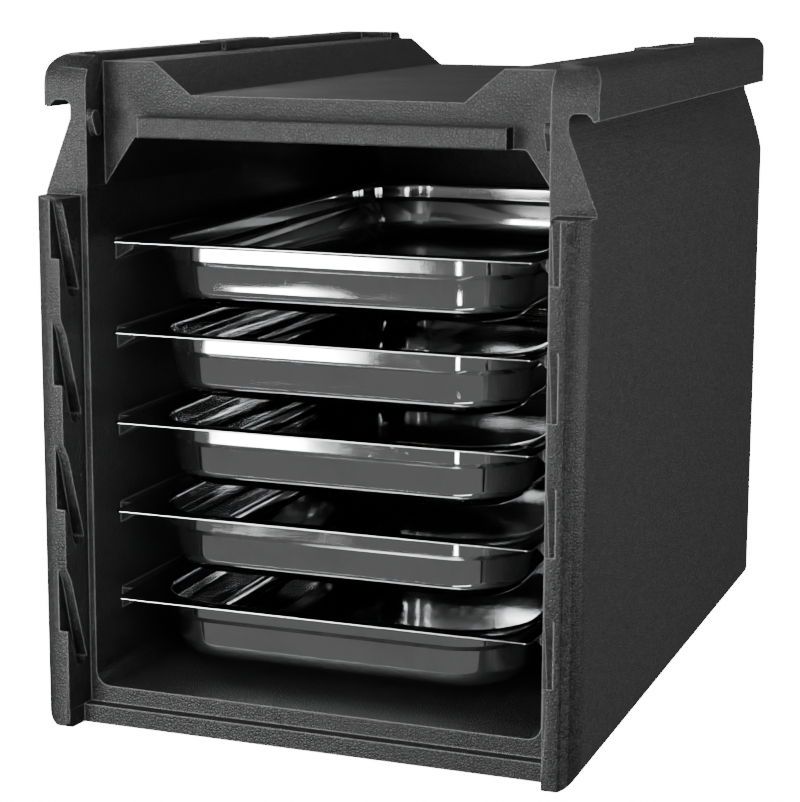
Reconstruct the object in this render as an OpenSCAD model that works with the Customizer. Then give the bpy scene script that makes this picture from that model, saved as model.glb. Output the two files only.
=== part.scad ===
// Front-loading insulated food carrier, moulded in expanded polypropylene, with five
// Gastronorm 1/1 pans on runners. +Z is up, the open front faces -Y, and the origin is the
// centre of the base.

/* [Carrier shell] */
// Width over the side walls
body_w = 415; // [400:1:440]
// Depth from the jamb faces to the back wall
body_d = 604; // [596:1:640]
// Height of the carrying rails above the base
body_h = 499; // [497:1:520]
// Radius of the upright front corners
front_corner_r = 20; // [8:1:24]
// Radius of the upright back corners
back_corner_r = 25; // [8:1:40]
// Radius of the long bottom edges
base_edge_r = 19; // [6:1:22]

/* [Cavity] */
// Width of the cavity at its mouth
cavity_w = 349; // [340:1:352]
// Draft of each side wall over the whole depth
cavity_draft = 10; // [4:0.5:10]
// Height of the cavity floor
floor_z = 27; // [20:1:34]
// Height of the cavity ceiling
ceiling_z = 438; // [430:1:444]
// Thickness of the back wall
back_wall = 25; // [18:1:28]
// Size of the sloped corners under the ceiling, across the width
gusset_w = 24.5; // [10:0.5:30]
// Height of the sloped corners under the ceiling
gusset_h = 35; // [20:1:50]

/* [Door seat] */
// Distance from the jamb faces back to the seal face
seal_setback = 28; // [22:1:32]
// Height of the jambs
jamb_h = 397; // [380:1:410]
// Clear width between the jambs at their front
jamb_gap_front = 366.3; // [362:0.1:370]
// Clear width between the jambs at the seal face
jamb_gap_back = 359; // [356:0.5:361]
// Distance from the jamb faces back to the sill face
sill_setback = 18.5; // [10:0.5:24]
// Height of the sill
sill_h = 14; // [8:1:20]
// Number of lug grooves in each jamb
groove_count = 4; // [2:1:4]
// Height of the lowest groove mouth's bottom edge
groove_z = 75; // [60:1:90]
// Spacing of the grooves
groove_pitch = 92.8; // [85:0.1:95]
// Depth of the grooves into the jamb
groove_depth = 6.8; // [3:0.1:9]

/* [Header] */
// Distance from the jamb faces back to the header face
header_setback = 56; // [50:1:64]
// Width of the raised strip on the header
strip_w = 279; // [200:1:300]
// Height of the raised strip
strip_h = 15.5; // [10:0.5:20]
// Depth that the strip stands out from the header face
strip_out = 15.7; // [8:0.1:20]

/* [Top and rails] */
// Height of the flats beside the trough
flat_z = 493; // [486:1:494]
// Height of the trough floor
trough_z = 469.3; // [462:0.1:480]
// Width of the trough floor
trough_floor_w = 207.3; // [150:0.1:230]
// Width of the trough at its top
trough_top_w = 265.8; // [240:0.1:300]
// Inner face of each rail, measured from the middle
rail_inner_x = 174; // [170:0.5:176]
// Radius of the rail's outer top edge
rail_edge_r = 15; // [6:1:18]
// Radius of the rail's front end, seen from the side
rail_nose_r = 25; // [10:1:28]
// Depth of the finger grip at its root
grip_depth = 20.8; // [14:0.1:21]
// Height of the underside of the grip
grip_z = 465.5; // [455:0.5:468]
// Height where the grip runs out into the side wall
crease_z = 399; // [385:1:410]

/* [Runners] */
// Number of pans
pan_count = 5; // [5]
// Height of the top pan's rim
top_rim_z = 363; // [355:1:366]
// Spacing of the pans
pan_pitch = 67.4; // [64:0.1:67.5]
// Distance that the runners stand out from the cavity mouth's side
runner_out = 20; // [16:0.5:22]
// Height of a runner at the wall
runner_root_h = 16.5; // [10:0.5:20]
// Height of a runner at its tip
runner_tip_h = 5; // [3:0.5:8]
// Distance from the jamb faces back to the runners' front ends
runner_setback = 70; // [60:1:90]

/* [Pans] */
// Width over the rim, Gastronorm 1/1
pan_w = 325; // [325]
// Length over the rim, Gastronorm 1/1
pan_l = 530; // [530]
// Depth of the pan
pan_depth = 50; // [20:1:60]
// Thickness of the sheet
sheet = 1; // [0.8:0.1:1.2]
// Width of the flat rim
rim_w = 12.5; // [10:0.5:14]
// Radius of the rim's outer corners
rim_corner_r = 12; // [6:1:20]
// Radius of the body's upright corners
pan_corner_r = 50; // [30:1:60]
// Height of the upright band below the rim
band_h = 13; // [8:1:20]
// Distance that the body steps in below the band
band_step = 2.5; // [1:0.5:4]
// Distance that the wall leans in between the band and the base
wall_lean = 3; // [1:0.5:6]
// Radius of the edge round the base
base_r = 17; // [8:1:20]
// Distance from the jamb faces back to the pans' front rims
pan_setback = 37.7; // [34:0.1:60]

/* [Hidden] */
$fn = 64;
eps = 0.5;
half_w = body_w / 2;
cavity_back = body_d - back_wall;
rail_mid_y = 312;
runner_gap = 0.4;
fillet_fn = 32;

// ---------- plain helpers ----------

module both_sides() {
    children();
    mirror([1, 0, 0]) children();
}

// A front-view outline (x, z) run back along Y from y0 to y1.
module run_back(y0, y1) {
    translate([0, y1, 0]) rotate([90, 0, 0]) linear_extrude(y1 - y0) children();
}

// A side-view outline (y, z) run across X from x0 to x1.
module run_across(x0, x1) {
    translate([x0, 0, 0]) rotate([90, 0, 90]) linear_extrude(x1 - x0) children();
}

// A round-cornered rectangle with true arcs, from its low corner.
module round_rect(w, h, r) {
    translate([r, 0]) square([w - 2 * r, h]);
    translate([0, r]) square([w, h - 2 * r]);
    for (x = [r, w - r], y = [r, h - r]) translate([x, y]) circle(r);
}

// ---------- carrier body ----------

// Front view of the block: rounded bottom edges and rounded rail tops.
module front_outline() {
    r = base_edge_r;
    q = rail_edge_r;
    translate([-half_w, r]) square([body_w, body_h - r - q]);
    translate([-half_w + r, 0]) square([body_w - 2 * r, body_h]);
    translate([-half_w + q, body_h / 2]) square([body_w - 2 * q, body_h / 2]);
    for (s = [-1, 1]) {
        translate([s * (half_w - r), r]) circle(r);
        translate([s * (half_w - q), body_h - q]) circle(q);
    }
}

// Plan of the block, with rounded upright corners.
module plan_outline() {
    f = front_corner_r;
    b = back_corner_r;
    translate([-half_w, f]) square([body_w, body_d - f - b]);
    translate([-half_w + f, 0]) square([body_w - 2 * f, body_d / 2]);
    translate([-half_w + b, body_d / 2]) square([body_w - 2 * b, body_d / 2]);
    for (s = [-1, 1]) {
        translate([s * (half_w - f), f]) circle(f);
        translate([s * (half_w - b), body_d - b]) circle(b);
    }
}

// Side view of the block: the jambs stand forward of the posts, and the rail ends are rounded.
module side_outline() {
    r = rail_nose_r;
    e = 10;
    j = 4;
    translate([0, j]) square([body_d - e, jamb_h - 2 * j]);
    translate([j, 0]) square([body_d - e - j, jamb_h]);
    for (z = [j, jamb_h - j]) translate([j, z]) circle(j);
    translate([seal_setback, jamb_h - 2 * j]) square([body_d - seal_setback - e, body_h - jamb_h + 2 * j - r]);
    translate([seal_setback + r, body_h - 2 * r]) square([body_d - seal_setback - r - e, 2 * r]);
    translate([seal_setback + r, body_h - r]) circle(r);
    translate([body_d / 2, e]) square([body_d / 2, body_h - 2 * e]);
    for (z = [e, body_h - e]) translate([body_d - e, z]) circle(e);
}

module block() {
    intersection() {
        run_back(0, body_d) front_outline();
        linear_extrude(body_h) plan_outline();
        run_across(-half_w, half_w) side_outline();
    }
}

// Finger grip under each rail: a hooked underside, a rounded root and a long slope back out.
module grip_outline() {
    root_x = half_w - grip_depth;
    root_r = 5;
    difference() {
        union() {
            polygon([
                [root_x + root_r, grip_z], [half_w - 9, grip_z], [half_w - 3.2, grip_z - 4.6],
                [half_w + eps, grip_z - 4.6], [half_w + eps, crease_z], [half_w, crease_z],
                [root_x + root_r * 0.05, grip_z - 13.5], [root_x, grip_z - 11], [root_x, grip_z - root_r]
            ]);
            translate([root_x + root_r, grip_z - root_r]) circle(root_r);
        }
        translate([half_w - 3, grip_z - 3.2]) circle(2.2);
    }
}

// Trough along the top, with sloped sides, open at the front and the back.
module trough_outline() {
    a = trough_floor_w / 2;
    b = trough_top_w / 2;
    rise = flat_z - trough_z;
    reach = (b - a) * (body_h + 2 - trough_z) / rise;
    polygon([[-a, trough_z], [a, trough_z], [a + reach, body_h + 2], [-a - reach, body_h + 2]]);
}

// Cavity: side walls drawn in towards the back, round lower corners and sloped upper ones.
module cavity() {
    w = cavity_w / 2;
    back_w = w - cavity_draft;
    low_r = 11;
    back_r = 22;
    hull() {
        run_back(seal_setback - eps, seal_setback) {
            translate([-w + low_r, floor_z]) square([2 * w - 2 * low_r, 1]);
            for (s = [-1, 1]) {
                translate([s * (w - low_r), floor_z + low_r]) circle(low_r, $fn = fillet_fn);
                translate([s * (w - 0.5) - 0.5, ceiling_z - gusset_h - 1]) square([1, 1]);
            }
            translate([-w + gusset_w, ceiling_z - 1]) square([2 * w - 2 * gusset_w, 1]);
        }
        for (s = [-1, 1]) {
            translate([s * (back_w - back_r), cavity_back - back_r, floor_z + 3 + back_r])
                sphere(back_r, $fn = fillet_fn);
            translate([s * (back_w - back_r), cavity_back - back_r, ceiling_z - gusset_h - 14])
                cylinder(r = back_r, h = 1, $fn = fillet_fn);
            translate([s * (back_w - back_r - gusset_w), cavity_back - back_r, ceiling_z - 14])
                cylinder(r = back_r, h = 1, $fn = fillet_fn);
            translate([s * (back_w - gusset_w - 30), cavity_back - 50, ceiling_z - 1]) cube(1);
        }
    }
}

// Space between the jambs that the door drops into, drawn in towards the seal face.
module door_recess() {
    a = jamb_gap_front / 2;
    b = jamb_gap_back / 2;
    translate([0, 0, sill_h]) linear_extrude(body_h)
        polygon([[-a - 0.1, -eps], [a + 0.1, -eps], [b, seal_setback], [-b, seal_setback]]);
    translate([0, 0, -eps]) linear_extrude(sill_h + 1)
        polygon([[-a, -eps], [a, -eps], [b + 1, sill_setback], [-b - 1, sill_setback]]);
}

// Slanted lug groove in side view: an open mouth at the jamb's front, then a run down and back.
module groove_outline(mouth_h) {
    lip = 1.5;
    end_r = 6.5;
    polygon([
        [-1, mouth_h + 2], [0, mouth_h], [6, min(mouth_h - 3, 37.5)], [22.6, -23],
        [9.6, -23], [lip, 0], [-1, 0]
    ]);
    translate([16.1, -23]) circle(end_r);
}

module lug_grooves() {
    depth_x = jamb_gap_front / 2 + groove_depth;
    for (i = [0 : groove_count - 1]) {
        z = groove_z + i * groove_pitch;
        mouth_h = i == groove_count - 1 ? jamb_h - z + 6 : 49;
        both_sides() translate([0, 0, z]) run_across(jamb_gap_back / 2 - 4, depth_x) groove_outline(mouth_h);
    }
}

// Shallow relief in the base, so that the carrier stands on a frame round its edge.
module base_relief() {
    inset = 46;
    translate([-half_w + inset, inset, -eps])
        linear_extrude(3 + eps) round_rect(body_w - 2 * inset, body_d - 2 * inset, 14);
}

// One pair of runners, with a level top and an underside that rises to the tip.
module runner_pair(top_z) {
    wall_x = cavity_w / 2;
    tip_x = wall_x - runner_out;
    nose = 8;
    intersection() {
        both_sides() run_back(runner_setback, cavity_back + 2)
            polygon([
                [wall_x + 4, top_z], [tip_x + 1.2, top_z], [tip_x, top_z - 1.2], [tip_x, top_z - runner_tip_h],
                [wall_x, top_z - runner_root_h], [wall_x + 4, top_z - runner_root_h - 2]
            ]);
        translate([0, 0, top_z - 30]) linear_extrude(40)
            difference() {
                translate([-half_w + 10, runner_setback]) square([body_w - 20, cavity_back]);
                both_sides() translate([tip_x - 1, runner_setback - 1])
                    difference() {
                        square(nose + 1);
                        translate([nose + 1, nose + 1]) circle(nose);
                    }
            }
    }
}

// Raised strip along the foot of the header, with its front edges eased.
module header_strip() {
    foot_z = ceiling_z + 0.5;
    edge_r = 2;
    y0 = header_setback - strip_out;
    run_across(-strip_w / 2, strip_w / 2) {
        translate([y0 + edge_r, foot_z]) square([strip_out - edge_r + 2, strip_h]);
        translate([y0, foot_z + edge_r]) square([strip_out, strip_h - 2 * edge_r]);
        for (z = [foot_z + edge_r, foot_z + strip_h - edge_r]) translate([y0 + edge_r, z]) circle(edge_r);
    }
}

// Slanted pill on each post's inner face that guides the door's top corners.
module post_lugs() {
    r = 5.2;
    out = 5;
    both_sides() run_across(rail_inner_x - out, rail_inner_x + 2) {
        translate([38, 445]) circle(r);
        translate([34, 453.5]) circle(r);
        translate([38, 445]) rotate(115.2) translate([0, -r]) square([9.39, 2 * r]);
    }
}

// Inner rebate that leaves a rail standing along each side and a return across each back corner.
module top_rebate() {
    return_x = 144;
    return_t = 26;
    translate([0, 0, flat_z]) linear_extrude(body_h) {
        translate([-rail_inner_x, -eps]) square([2 * rail_inner_x, body_d - return_t]);
        translate([-return_x, 0]) square([2 * return_x, body_d + eps]);
    }
}

// Low pad halfway along each rail, with a small inward lug, that keys into the next carrier.
module rail_pads() {
    pad_l = 104;
    pad_w = 20;
    pad_up = 1.8;
    both_sides() {
        translate([rail_inner_x, rail_mid_y - pad_l / 2, body_h - 3])
            linear_extrude(3 + pad_up) round_rect(pad_w, pad_l, 4);
        translate([rail_inner_x - 4.5, rail_mid_y - pad_l / 2 + 2, flat_z - 2])
            linear_extrude(body_h - flat_z + 2 + pad_up) round_rect(12, 30, 3);
    }
}

module carrier_body() {
    color("#2b2c2e") translate([0, -body_d / 2, 0]) {
        difference() {
            block();
            both_sides() run_back(-eps, body_d + eps) grip_outline();
            run_back(-eps, body_d + eps) trough_outline();
            top_rebate();
            cavity();
            door_recess();
            translate([-rail_inner_x, -eps, ceiling_z - gusset_h])
                cube([2 * rail_inner_x, header_setback + eps, gusset_h + 1]);
            translate([-rail_inner_x, -eps, ceiling_z]) cube([2 * rail_inner_x, header_setback + eps, 100]);
            lug_grooves();
            base_relief();
        }
        for (i = [0 : pan_count - 1]) runner_pair(top_rim_z - i * pan_pitch - sheet - runner_gap);
        header_strip();
        post_lugs();
        rail_pads();
    }
}

// ---------- pans ----------

// Half section of the pressed sheet: x runs out from the corner's axis, y is height below the
// rim. inset moves the outline in by the sheet's thickness.
module pan_section(inset) {
    r0 = pan_corner_r - inset;
    r1 = r0 - band_step;
    r2 = r1 - wall_lean;
    foot = -pan_depth + inset;
    br = base_r - inset;
    top = inset > 0 ? 0.5 : 0;
    polygon([
        [0, top], [r0, top], [r0, -band_h], [r1, -band_h - 2.5],
        [r2, foot + br], [r2 - br, foot + br], [r2 - br, foot], [0, foot]
    ]);
    translate([r2 - br, foot + br]) intersection() {
        circle(br);
        translate([0, -br]) square(br);
    }
}

// Solid form of the pan's body: the section turned round each corner and run along each side.
module pan_form(inset) {
    cx = pan_w / 2 - rim_w - pan_corner_r;
    cy = pan_l / 2 - rim_w - pan_corner_r;
    for (sx = [0, 1], sy = [0, 1]) mirror([sx, 0, 0]) mirror([0, sy, 0]) translate([cx, cy, 0])
        rotate_extrude(angle = 90) pan_section(inset);
    for (s = [0, 1]) mirror([s, 0, 0]) translate([cx, 0, 0]) run_back(-cy, cy) pan_section(inset);
    for (s = [0, 1]) mirror([0, s, 0]) translate([0, cy, 0]) run_across(-cx, cx) pan_section(inset);
    translate([-cx, -cy, -pan_depth + inset]) cube([2 * cx, 2 * cy, pan_depth - inset + (inset > 0 ? 0.5 : 0)]);
}

// One pressed pan. index counts down from the top.
module pan(index) {
    rim_z = top_rim_z - (index - 1) * pan_pitch;
    mid_y = -body_d / 2 + pan_setback + pan_l / 2;
    color("#c9ccce") translate([0, mid_y, rim_z]) {
        difference() {
            union() {
                translate([-pan_w / 2, -pan_l / 2, -sheet])
                    linear_extrude(sheet) round_rect(pan_w, pan_l, rim_corner_r);
                pan_form(0);
            }
            pan_form(sheet);
        }
    }
}

module pan_1() { pan(1); }
module pan_2() { pan(2); }
module pan_3() { pan(3); }
module pan_4() { pan(4); }
module pan_5() { pan(5); }

carrier_body();
pan_1();
pan_2();
pan_3();
pan_4();
pan_5();
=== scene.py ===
import math

import bmesh
import bpy
import numpy as np
from mathutils import Matrix, Vector


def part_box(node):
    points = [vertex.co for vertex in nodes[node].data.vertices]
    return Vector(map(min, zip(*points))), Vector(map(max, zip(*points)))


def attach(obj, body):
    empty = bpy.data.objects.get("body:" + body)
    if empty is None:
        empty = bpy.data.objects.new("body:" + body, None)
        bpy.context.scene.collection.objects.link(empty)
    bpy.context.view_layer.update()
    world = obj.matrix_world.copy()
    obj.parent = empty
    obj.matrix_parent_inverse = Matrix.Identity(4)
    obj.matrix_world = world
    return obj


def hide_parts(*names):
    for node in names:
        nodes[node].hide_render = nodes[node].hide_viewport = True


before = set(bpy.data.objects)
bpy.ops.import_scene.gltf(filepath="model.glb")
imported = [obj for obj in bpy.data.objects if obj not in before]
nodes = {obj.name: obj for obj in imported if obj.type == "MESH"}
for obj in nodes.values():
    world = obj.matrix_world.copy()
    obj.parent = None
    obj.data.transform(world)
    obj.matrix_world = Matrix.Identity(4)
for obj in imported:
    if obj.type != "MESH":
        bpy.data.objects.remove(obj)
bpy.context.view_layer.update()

mm = 0.001


# camera, lights and floor; the object faces -Y

studio = {
    "cameraPlace": (0.59782, -1.71852, 0.56564),
    "azimuth": 20.45,  # degrees, turned from +Y towards -X
    "elevation": 10.68,  # degrees, looking down
    "roll": 0.21,
    "lens": 100.70,
    "shift": (0.0148, -0.0226),
    "floorTone": 0.85,
    "floorRough": 0.8,
    "floorSize": 60.0,
    "whiteBack": 16.0,  # what the camera sees round the object
    "roomLight": 0.13,  # what the object sees round itself
    "lights": [
        # name, place, target, size, turn in its own plane in degrees, watts; the front card is
        # what the pans' upper bands mirror, and the corner card is what their corners mirror
        ("frontCard", (-0.875, -1.80, 0.21), (-0.875, 0.0, 0.21), (0.8, 1.03), 25.0, 66),
        ("cornerCard", (0.21, -1.76, -0.02), (0.21, 0.0, -0.02), (0.13, 0.85), 0.0, 8),
        ("frontLight", (0.5, -2.6, 1.7), (0.0, -0.2, 0.25), (1.3, 0.9), 0.0, 30),
        ("topLight", (-0.2, -0.5, 2.2), (0.0, 0.0, 0.4), (0.9, 1.3), 0.0, 13),
        ("rightStrip", (2.25, 0.25, 0.55), (0.2, -0.2, 0.3), (0.7, 1.7), 0.0, 46),
        ("leftStrip", (-2.2, -0.6, 0.9), (0.0, -0.1, 0.3), (0.5, 1.8), 0.0, 12),
        ("backLight", (-1.6, 1.9, 1.4), (0.0, 0.2, 0.3), (1.0, 1.0), 0.0, 10),
    ],
}


def aimCamera(values):
    camera = bpy.data.objects.new("camera", bpy.data.cameras.new("camera"))
    bpy.context.scene.collection.objects.link(camera)
    az, el, ro = (math.radians(values[k]) for k in ("azimuth", "elevation", "roll"))
    forward = Vector((-math.sin(az) * math.cos(el), math.cos(az) * math.cos(el), -math.sin(el)))
    right = Vector((math.cos(az), math.sin(az), 0.0))
    up = right.cross(forward)
    rolledRight = right * math.cos(ro) + up * math.sin(ro)
    rolledUp = up * math.cos(ro) - right * math.sin(ro)
    turn = Matrix((rolledRight, rolledUp, -forward)).transposed().to_4x4()
    camera.matrix_world = Matrix.Translation(values["cameraPlace"]) @ turn
    camera.data.lens = values["lens"]
    camera.data.shift_x, camera.data.shift_y = values["shift"]
    bpy.context.scene.camera = camera


def softLight(name, place, target, size, turn, watts):
    light = bpy.data.lights.new(name, "AREA")
    light.shape = "RECTANGLE"
    light.size, light.size_y = size
    light.energy = watts
    lamp = bpy.data.objects.new(name, light)
    bpy.context.scene.collection.objects.link(lamp)
    aim = (Vector(target) - Vector(place)).to_track_quat("-Z", "Y").to_matrix().to_4x4()
    lamp.matrix_world = Matrix.Translation(place) @ aim @ Matrix.Rotation(math.radians(-turn), 4, "Z")


# White to the camera, so that the object stands alone, and dimmer as a light on the object.
def makeWorld(values):
    world = bpy.data.worlds.new("studio")
    bpy.context.scene.world = world
    world.use_nodes = True
    tree = world.node_tree
    room = tree.nodes["Background"]
    room.inputs["Color"].default_value = (1, 1, 1, 1)
    room.inputs["Strength"].default_value = values["roomLight"]
    seen = tree.nodes.new("ShaderNodeBackground")
    seen.inputs["Color"].default_value = (1, 1, 1, 1)
    seen.inputs["Strength"].default_value = values["whiteBack"]
    path = tree.nodes.new("ShaderNodeLightPath")
    mix = tree.nodes.new("ShaderNodeMixShader")
    tree.links.new(path.outputs["Is Camera Ray"], mix.inputs[0])
    tree.links.new(room.outputs[0], mix.inputs[1])
    tree.links.new(seen.outputs[0], mix.inputs[2])
    tree.links.new(mix.outputs[0], tree.nodes["World Output"].inputs["Surface"])


def makeFloor(values):
    mesh = bpy.data.meshes.new("floor")
    far = values["floorSize"]
    corners = [(-far, -far, 0), (far, -far, 0), (far, far, 0), (-far, far, 0)]
    mesh.from_pydata(corners, [], [(0, 1, 2, 3)])
    floor = bpy.data.objects.new("floor", mesh)
    bpy.context.scene.collection.objects.link(floor)
    mat = bpy.data.materials.new("paleFloor")
    mat.use_nodes = True
    tree = mat.node_tree
    plain = tree.nodes["Principled BSDF"]
    tone = values["floorTone"]
    plain.inputs["Base Color"].default_value = (tone, tone, tone, 1)
    plain.inputs["Roughness"].default_value = values["floorRough"]
    glow = tree.nodes.new("ShaderNodeEmission")
    glow.inputs["Strength"].default_value = values["whiteBack"]
    path = tree.nodes.new("ShaderNodeLightPath")
    mix = tree.nodes.new("ShaderNodeMixShader")
    tree.links.new(path.outputs["Is Camera Ray"], mix.inputs[0])
    tree.links.new(plain.outputs[0], mix.inputs[1])
    tree.links.new(glow.outputs[0], mix.inputs[2])
    tree.links.new(mix.outputs[0], tree.nodes["Material Output"].inputs["Surface"])
    mesh.materials.append(mat)
    floor.visible_glossy = False  # the steel mirrors the light cards, not the floor


aimCamera(studio)
for row in studio["lights"]:
    softLight(*row)
makeWorld(studio)
makeFloor(studio)
print("camera, lights and floor placed")


# Helpers for node trees. A value that is a number is set on the socket, and a socket is linked.
def addNode(tree, kind, **values):
    node = tree.nodes.new(kind)
    for key, value in values.items():
        setattr(node, key, value)
    return node


def mathNode(tree, operation, a, b=None, clamp=False):
    node = addNode(tree, "ShaderNodeMath", operation=operation, use_clamp=clamp)
    for slot, value in enumerate((a, b)):
        if value is None:
            continue
        if isinstance(value, (int, float)):
            node.inputs[slot].default_value = value
        else:
            tree.links.new(value, node.inputs[slot])
    return node.outputs[0]


def rangeNode(tree, value, low, high, toLow=0.0, toHigh=1.0, smooth=True):
    node = addNode(tree, "ShaderNodeMapRange", clamp=True)
    if smooth:
        node.interpolation_type = "SMOOTHSTEP"
    tree.links.new(value, node.inputs["Value"])
    ends = (("From Min", low), ("From Max", high), ("To Min", toLow), ("To Max", toHigh))
    for name, number in ends:
        if isinstance(number, (int, float)):
            node.inputs[name].default_value = number
        else:
            tree.links.new(number, node.inputs[name])
    return node.outputs["Result"]


def noiseNode(tree, vector, scale, detail=2.0, rough=0.5):
    node = addNode(tree, "ShaderNodeTexNoise")
    tree.links.new(vector, node.inputs["Vector"])
    if isinstance(scale, (int, float)):
        node.inputs["Scale"].default_value = scale
    else:
        tree.links.new(scale, node.inputs["Scale"])
    node.inputs["Detail"].default_value = detail
    node.inputs["Roughness"].default_value = rough
    return node.outputs["Fac"]


def newGroup(name, inputs, outputs):
    group = bpy.data.node_groups.new(name, "ShaderNodeTree")
    for label, kind, value in inputs:
        socket = group.interface.new_socket(name=label, in_out="INPUT", socket_type=kind)
        if value is not None:
            socket.default_value = value
    for label, kind in outputs:
        group.interface.new_socket(name=label, in_out="OUTPUT", socket_type=kind)
    return group, group.nodes.new("NodeGroupInput"), group.nodes.new("NodeGroupOutput")


def placeGroup(tree, group, values):
    node = addNode(tree, "ShaderNodeGroup")
    node.node_tree = group
    for name, value in values.items():
        if isinstance(value, (int, float)):
            node.inputs[name].default_value = value
        else:
            tree.links.new(value, node.inputs[name])
    return node


grain = {
    "swayScale": 120.0,  # how the rows of beads wander, in waves per metre
    "swayReach": (0.002, -0.002, 0.002),
    "unevenness": 0.85,
    "patchScale": 9.0,
    "beadShare": 0.55,  # of the tone, from bead to bead; the rest is the fine grain
    "domeEdge": 0.45,
    "domeHeight": 0.6,
    "seamDepth": 0.35,
    "grainHeight": 0.55,
}


# Moulded bead foam: polygon beads pressed together, each a low dome with its own tone, dark sunken
# seams between them, and a fine grain over all.
def makeBeadGrain(values):
    tree, into, out = newGroup(
        "beadGrain",
        [("Vector", "NodeSocketVector", None), ("Beads per metre", "NodeSocketFloat", 330.0),
         ("Seam width", "NodeSocketFloat", 0.16), ("Grain per metre", "NodeSocketFloat", 2200.0)],
        [("Tone", "NodeSocketFloat"), ("Seam", "NodeSocketFloat"), ("Height", "NodeSocketFloat"),
         ("Patch", "NodeSocketFloat")])
    place = into.outputs["Vector"]
    sway = noiseNode(tree, place, values["swayScale"], 2.0)
    bend = addNode(tree, "ShaderNodeVectorMath", operation="MULTIPLY_ADD")
    spread = addNode(tree, "ShaderNodeCombineXYZ")
    for k in range(3):
        tree.links.new(sway, spread.inputs[k])
    tree.links.new(spread.outputs[0], bend.inputs[0])
    bend.inputs[1].default_value = values["swayReach"]
    tree.links.new(place, bend.inputs[2])
    edge = addNode(tree, "ShaderNodeTexVoronoi", feature="DISTANCE_TO_EDGE")
    cell = addNode(tree, "ShaderNodeTexVoronoi", feature="F1")
    for node in (edge, cell):
        tree.links.new(bend.outputs[0], node.inputs["Vector"])
        tree.links.new(into.outputs["Beads per metre"], node.inputs["Scale"])
        node.inputs["Randomness"].default_value = values["unevenness"]
    fromSeam = edge.outputs["Distance"]
    seam = rangeNode(tree, fromSeam, 0.0, into.outputs["Seam width"], 1.0, 0.0)
    parts = addNode(tree, "ShaderNodeSeparateColor")
    tree.links.new(cell.outputs["Color"], parts.inputs[0])
    speckle = noiseNode(tree, place, into.outputs["Grain per metre"], 3.0, 0.65)
    patch = noiseNode(tree, place, values["patchScale"], 3.0, 0.55)
    tone = mathNode(tree, "MULTIPLY_ADD", parts.outputs[0], values["beadShare"])
    tree.links.new(mathNode(tree, "MULTIPLY", speckle, 1 - values["beadShare"]), tone.node.inputs[2])
    dome = rangeNode(tree, fromSeam, 0.0, values["domeEdge"], 0.0, 1.0)
    raised = mathNode(tree, "MULTIPLY", dome, values["domeHeight"])
    sunk = mathNode(tree, "MULTIPLY", seam, values["seamDepth"])
    lift = mathNode(tree, "MULTIPLY_ADD", speckle, values["grainHeight"])
    tree.links.new(mathNode(tree, "SUBTRACT", raised, sunk), lift.node.inputs[2])
    for name, value in (("Tone", tone), ("Seam", seam), ("Height", lift), ("Patch", patch)):
        tree.links.new(value, out.inputs[name])
    return tree


scuff = {
    "stretch": (260.0, 9.0, 320.0),  # long along Y, the way the pans and the carrier slide
    "lean": (0.05, 0.3, 0.12),
    "lineFrom": 0.62,
    "lineTo": 0.72,
    "placeScale": 14.0,
    "placeFrom": 0.5,
    "placeTo": 0.68,
    "smearScale": 22.0,
}


# Handling marks: a mask of long faint scuffs that keep to a few places, and a soft smear.
def makeScuffs(values):
    tree, into, out = newGroup(
        "scuffs",
        [("Vector", "NodeSocketVector", None), ("Amount", "NodeSocketFloat", 0.5)],
        [("Mask", "NodeSocketFloat"), ("Smear", "NodeSocketFloat")])
    place = into.outputs["Vector"]
    stretch = addNode(tree, "ShaderNodeMapping")
    tree.links.new(place, stretch.inputs["Vector"])
    stretch.inputs["Scale"].default_value = values["stretch"]
    stretch.inputs["Rotation"].default_value = values["lean"]
    lines = noiseNode(tree, stretch.outputs[0], 1.0, 3.0, 0.6)
    where = noiseNode(tree, place, values["placeScale"], 2.0, 0.5)
    thin = rangeNode(tree, lines, values["lineFrom"], values["lineTo"])
    spots = rangeNode(tree, where, values["placeFrom"], values["placeTo"])
    mask = mathNode(tree, "MULTIPLY", thin, spots)
    tree.links.new(mathNode(tree, "MULTIPLY", mask, into.outputs["Amount"]), out.inputs["Mask"])
    tree.links.new(noiseNode(tree, place, values["smearScale"], 4.0, 0.6), out.inputs["Smear"])
    return tree


beadGrain = makeBeadGrain(grain)
scuffs = makeScuffs(scuff)


# the shell, in charcoal expanded polypropylene

foam = {
    "deepTone": (0.0080, 0.0082, 0.0087, 1),
    "liteTone": (0.0215, 0.0218, 0.0228, 1),
    "seamTone": (0.0040, 0.0041, 0.0043, 1),
    # the tone the edges are painted towards: a painted highlight along the edges, together with some
    # rubbed wear
    "edgeWearAndHighlightTone": (0.19, 0.191, 0.195, 1),
    "beadsPerMetre": 400.0,
    "seamWidth": 0.13,
    "grainPerMetre": 1900.0,
    "seamDarkness": 0.7,
    "scuffTone": (0.05, 0.05, 0.052, 1),
    "scuffAmount": 0.5,
    "scuffStrength": 0.4,
    "bumpHeight": 0.3 * mm,
    "bumpStrength": 0.9,
    "roughLow": 0.42,
    "roughHigh": 0.56,
    "specular": 0.42,
    # how strongly the edges are painted lighter, as a painted highlight with some rubbed wear
    "edgeWearAndHighlight": 0.75,
    "edgeRadius": 2.0 * mm,
    "edgeAngle": 32.0,  # an edge that turns by more than this stays sharp in the mesh
    "joinDistance": 0.02 * mm,
    "flatAngle": 0.6,
}


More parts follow.
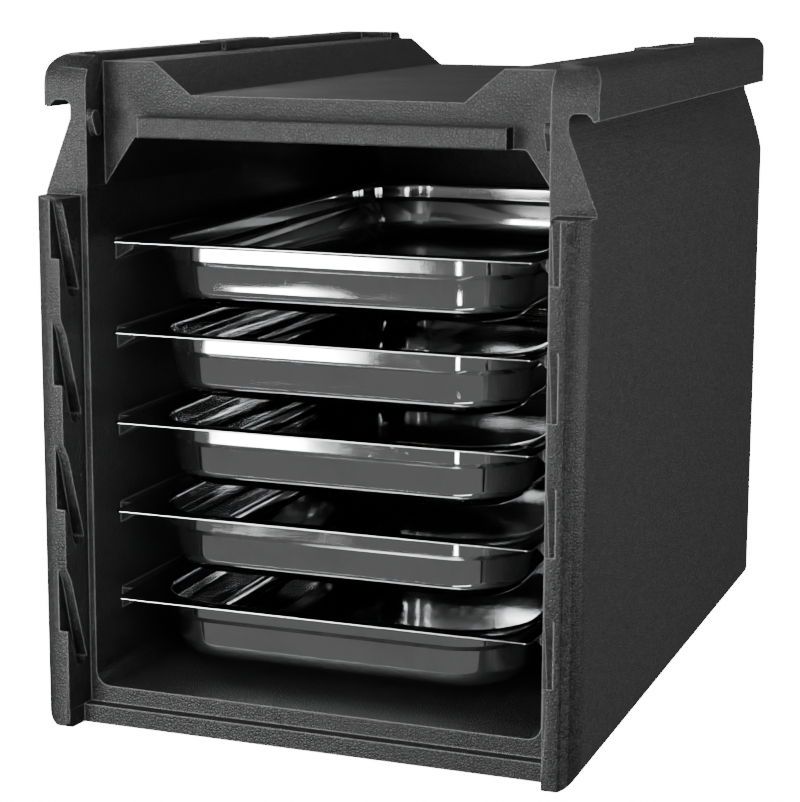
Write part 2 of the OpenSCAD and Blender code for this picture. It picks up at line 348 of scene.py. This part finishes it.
def makeFoam(values):
    mat = bpy.data.materials.new("foamShell")
    mat.use_nodes = True
    tree = mat.node_tree
    shader = tree.nodes["Principled BSDF"]
    spot = addNode(tree, "ShaderNodeTexCoord").outputs["Object"]
    beads = placeGroup(tree, beadGrain, {
        "Vector": spot, "Beads per metre": values["beadsPerMetre"],
        "Seam width": values["seamWidth"], "Grain per metre": values["grainPerMetre"]})
    marks = placeGroup(tree, scuffs, {"Vector": spot, "Amount": values["scuffAmount"]})
    ramp = addNode(tree, "ShaderNodeMix", data_type="RGBA")
    # a colour mix has its two colours at inputs 6 and 7 and its result at output 2
    tree.links.new(rangeNode(tree, beads.outputs["Tone"], 0.2, 0.8), ramp.inputs["Factor"])
    ramp.inputs[6].default_value = values["deepTone"]
    ramp.inputs[7].default_value = values["liteTone"]
    seamed = addNode(tree, "ShaderNodeMix", data_type="RGBA")
    dark = mathNode(tree, "MULTIPLY", beads.outputs["Seam"], values["seamDarkness"])
    tree.links.new(dark, seamed.inputs["Factor"])
    tree.links.new(ramp.outputs[2], seamed.inputs[6])
    seamed.inputs[7].default_value = values["seamTone"]
    worn = addNode(tree, "ShaderNodeMix", data_type="RGBA")
    scratched = mathNode(tree, "MULTIPLY", marks.outputs["Mask"], values["scuffStrength"])
    tree.links.new(scratched, worn.inputs["Factor"])
    tree.links.new(seamed.outputs[2], worn.inputs[6])
    worn.inputs[7].default_value = values["scuffTone"]
    # the normal turns as over a rounded edge, and where it has turned the foam is painted lighter: a
    # painted highlight along the edges, together with some rubbed wear
    rounded = addNode(tree, "ShaderNodeBevel", samples=6)
    rounded.inputs["Radius"].default_value = values["edgeRadius"]
    flat = addNode(tree, "ShaderNodeNewGeometry").outputs["Normal"]
    along = addNode(tree, "ShaderNodeVectorMath", operation="DOT_PRODUCT")
    tree.links.new(rounded.outputs[0], along.inputs[0])
    tree.links.new(flat, along.inputs[1])
    edge = rangeNode(tree, along.outputs["Value"], 0.88, 0.998, 1.0, 0.0)
    rubbedAndHighlighted = addNode(tree, "ShaderNodeMix", data_type="RGBA")
    tree.links.new(mathNode(tree, "MULTIPLY", edge, values["edgeWearAndHighlight"]), rubbedAndHighlighted.inputs["Factor"])
    tree.links.new(worn.outputs[2], rubbedAndHighlighted.inputs[6])
    rubbedAndHighlighted.inputs[7].default_value = values["edgeWearAndHighlightTone"]
    tree.links.new(rubbedAndHighlighted.outputs[2], shader.inputs["Base Color"])
    ownRough = mathNode(tree, "MULTIPLY", beads.outputs["Tone"], 0.35)
    spread = mathNode(tree, "ADD", beads.outputs["Patch"], ownRough)
    rough = rangeNode(tree, spread, 0.3, 0.95, values["roughLow"], values["roughHigh"])
    tree.links.new(rough, shader.inputs["Roughness"])
    bump = addNode(tree, "ShaderNodeBump")
    bump.inputs["Strength"].default_value = values["bumpStrength"]
    bump.inputs["Distance"].default_value = values["bumpHeight"]
    tree.links.new(beads.outputs["Height"], bump.inputs["Height"])
    tree.links.new(rounded.outputs[0], bump.inputs["Normal"])
    tree.links.new(bump.outputs["Normal"], shader.inputs["Normal"])
    shader.inputs["Specular IOR Level"].default_value = values["specular"]
    return mat


# A copy of the CAD shell, with its triangles joined at their shared corners and its flat areas
# made whole, so that the rounded parts shade evenly. Its shape stays the CAD shell's.
def makeShell(source, values):
    mesh = source.data.copy()
    mesh.name = "foamShell"
    form = bmesh.new()
    form.from_mesh(mesh)
    bmesh.ops.remove_doubles(form, verts=form.verts, dist=values["joinDistance"])
    bmesh.ops.dissolve_degenerate(form, edges=form.edges, dist=values["joinDistance"] / 2)
    bmesh.ops.dissolve_limit(form, angle_limit=math.radians(values["flatAngle"]),
                             verts=form.verts, edges=form.edges)
    form.to_mesh(mesh)
    form.free()
    mesh.materials.clear()
    mesh.materials.append(makeFoam(values))
    shell = bpy.data.objects.new("shell", mesh)
    bpy.context.scene.collection.objects.link(shell)
    mesh.shade_smooth()
    mesh.set_sharp_from_angle(angle=math.radians(values["edgeAngle"]))
    level = shell.modifiers.new("evenNormals", "WEIGHTED_NORMAL")
    level.keep_sharp = True
    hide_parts("carrier_body")
    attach(shell, "carrier")
    return shell


shell = makeShell(nodes["carrier_body"], foam)
print("shell made,", len(shell.data.polygons), "faces")


# the pans, pressed from polished stainless sheet

pan = {
    "bodyCorner": 55 * mm,
    "sheet": 1 * mm,
    "rim": 12.5 * mm,
    "rimCorner": 5 * mm,
    "bend": 5 * mm,
    "bandHeight": 14 * mm,
    "shoulder": 4 * mm,
    "step": 2.5 * mm,
    "lean": 3 * mm,
    "baseRadius": 17 * mm,
    "softCorner": 1.2 * mm,
    "cornerSteps": 14,
    "sideSteps": 10,
    "tone": (0.80, 0.805, 0.81, 1),
    "toneWorn": (0.68, 0.685, 0.69, 1),
    "roughLow": 0.045,
    "roughHigh": 0.11,
    "scuffAmount": 0.8,
    "scuffRough": 0.12,
    "waveScale": 11.0,  # slow waves in the pressed sheet, per metre
    "waveHeight": 0.25 * mm,
    "waveStrength": 0.2,
    "edgeAngle": 50.0,
}


# An arc in the profile plane: the centre plus the radius times (cos t, sin t), as t runs evenly
# from one angle to the other.
def arc(centre, radius, fromDeg, toDeg, steps):
    t = np.radians(np.linspace(fromDeg, toDeg, steps + 1))
    return np.stack([centre[0] + radius * np.cos(t), centre[1] + radius * np.sin(t)], axis=1)


# Rounds one bend of the profile with the circle that touches both straight parts. Its centre lies
# on the line that halves the bend, at the radius over the sine of half the angle.
def fillet(before, corner, after, radius, steps=3):
    before, corner, after = (np.asarray(p, float) for p in (before, corner, after))
    a = (before - corner) / np.linalg.norm(before - corner)
    b = (after - corner) / np.linalg.norm(after - corner)
    half = math.acos(float(np.clip(a @ b, -1, 1))) / 2
    centre = corner + (a + b) / np.linalg.norm(a + b) * radius / math.sin(half)
    first = corner + a * radius / math.tan(half) - centre
    last = corner + b * radius / math.tan(half) - centre
    start = math.degrees(math.atan2(first[1], first[0]))
    turn = (math.degrees(math.atan2(last[1], last[0])) - start + 540) % 360 - 180
    return arc(centre, radius, start, start + turn, steps)


# The pan's section from its base out to the bend under the rim, on the sheet's outer face (inset 0)
# or its inner face (inset of one sheet). Columns: distance from the corner's axis, height.
def panProfile(values, depth, inset):
    r0 = values["bodyCorner"] - inset
    r1 = r0 - values["step"]
    r2 = r1 - values["lean"]
    foot = -depth + inset
    base = values["baseRadius"] - inset
    bend = values["bend"] - values["sheet"] + inset
    rim = inset - values["sheet"]
    band, step = -values["bandHeight"], -values["bandHeight"] - values["shoulder"]
    soft = values["softCorner"]
    low = (r2, foot + base)
    return np.concatenate([
        [[(r2 - base) / 2, foot]],
        arc((r2 - base, foot + base), base, -90, 0, 12),
        fillet(low, (r1, step), (r0, band), soft),
        fillet((r1, step), (r0, band), (r0, rim - bend), soft),
        arc((r0 + bend, rim - bend), bend, 180, 90, 7),
    ])


# Rings round the pan. A ring is a rounded rectangle: each corner's arc of the ring's own radius
# about the ring's own corner point, with the straight sides shared out in even steps between them.
def ringPoints(halfX, halfY, radius, height, values):
    n, m = values["cornerSteps"], values["sideSteps"]
    t = np.linspace(0, np.pi / 2, n + 1)
    turns = np.concatenate([t + k * np.pi / 2 for k in range(4)])
    signX = np.repeat([1, -1, -1, 1], n + 1)
    signY = np.repeat([1, 1, -1, -1], n + 1)
    x = signX * (halfX - radius)[:, None] + radius[:, None] * np.cos(turns)
    y = signY * (halfY - radius)[:, None] + radius[:, None] * np.sin(turns)
    ring = np.stack([x, y], axis=2)
    pieces = []
    f = (np.arange(1, m) / m)[None, :, None]
    for k in range(4):
        corner = ring[:, k * (n + 1):(k + 1) * (n + 1)]
        following = ring[:, ((k + 1) % 4) * (n + 1)][:, None]
        pieces += [corner, corner[:, -1:] * (1 - f) + following * f]
    flat = np.concatenate(pieces, axis=1)
    return np.concatenate([flat, np.broadcast_to(height[:, None, None], flat.shape[:2] + (1,))], axis=2)


# All rings of one pan, in order: up its outer face, round the rim's edge and down its inner face.
# Columns of the table: half length in X, half length in Y, corner radius, height.
def panRings(values, halfX, halfY, depth):
    axisX = halfX - values["rim"] - values["bend"] - values["bodyCorner"]
    axisY = halfY - values["rim"] - values["bend"] - values["bodyCorner"]
    sheet, corner = values["sheet"], values["rimCorner"]
    outer = panProfile(values, depth, 0.0)
    inner = panProfile(values, depth, sheet)[::-1]
    half = sheet / 2
    tip = arc((0.0, -half), half, -90, 90, 6)
    rows = [np.stack([axisX + outer[:, 0], axisY + outer[:, 0], outer[:, 0], outer[:, 1]], 1),
            np.stack([halfX - half + tip[:, 0], halfY - half + tip[:, 0],
                      corner - half + tip[:, 0], tip[:, 1]], 1),
            np.stack([axisX + inner[:, 0], axisY + inner[:, 0], inner[:, 0], inner[:, 1]], 1)]
    table = np.concatenate(rows)
    return ringPoints(table[:, 0], table[:, 1], table[:, 2], table[:, 3], values)


# Joins ring k to ring k + 1 with quads, and closes the first and the last ring with one flat face.
def ringMesh(name, grid):
    count, around = grid.shape[:2]
    index = np.arange(count * around).reshape(count, around)
    step = np.roll(index, -1, axis=1)
    quads = np.stack([index[:-1], step[:-1], step[1:], index[1:]], axis=2).reshape(-1, 4)
    faces = [tuple(q) for q in quads.tolist()]
    faces.append(tuple(index[0][::-1].tolist()))
    faces.append(tuple(index[-1].tolist()))
    mesh = bpy.data.meshes.new(name)
    mesh.from_pydata(grid.reshape(-1, 3).tolist(), [], faces)
    mesh.update()
    return mesh


def makeSteel(values):
    mat = bpy.data.materials.new("panSteel")
    mat.use_nodes = True
    tree = mat.node_tree
    shader = tree.nodes["Principled BSDF"]
    spot = addNode(tree, "ShaderNodeTexCoord").outputs["Object"]
    marks = placeGroup(tree, scuffs, {"Vector": spot, "Amount": values["scuffAmount"]})
    tone = addNode(tree, "ShaderNodeMix", data_type="RGBA")
    tree.links.new(rangeNode(tree, marks.outputs["Smear"], 0.4, 0.8), tone.inputs["Factor"])
    tone.inputs[6].default_value = values["tone"]
    tone.inputs[7].default_value = values["toneWorn"]
    tree.links.new(tone.outputs[2], shader.inputs["Base Color"])
    shader.inputs["Metallic"].default_value = 1.0
    smear = rangeNode(tree, marks.outputs["Smear"], 0.35, 0.75, values["roughLow"], values["roughHigh"])
    rough = mathNode(tree, "MULTIPLY_ADD", marks.outputs["Mask"], values["scuffRough"])
    tree.links.new(smear, rough.node.inputs[2])
    tree.links.new(rough, shader.inputs["Roughness"])
    bump = addNode(tree, "ShaderNodeBump")
    bump.inputs["Strength"].default_value = values["waveStrength"]
    bump.inputs["Distance"].default_value = values["waveHeight"]
    sheetWave = noiseNode(tree, spot, values["waveScale"], 1.0, 0.4)
    tree.links.new(sheetWave, bump.inputs["Height"])
    tree.links.new(bump.outputs["Normal"], shader.inputs["Normal"])
    return mat


steel = makeSteel(pan)


# One pan, sized and placed by the box of its own CAD node.
def makePan(number, values):
    name = f"pan_{number}"
    low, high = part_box(name)
    halfX, halfY = (high[0] - low[0]) / 2, (high[1] - low[1]) / 2
    grid = panRings(values, halfX, halfY, high[2] - low[2])
    grid = grid + np.array([(low[0] + high[0]) / 2, (low[1] + high[1]) / 2, high[2]])
    mesh = ringMesh(f"steelPan{number}", grid)
    mesh.materials.append(steel)
    mesh.shade_smooth()
    mesh.set_sharp_from_angle(angle=math.radians(values["edgeAngle"]))
    piece = bpy.data.objects.new(f"steelPan{number}", mesh)
    bpy.context.scene.collection.objects.link(piece)
    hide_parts(name)
    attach(piece, name)
    return piece


for number in range(1, 6):
    makePan(number, pan)
print("five pans made")
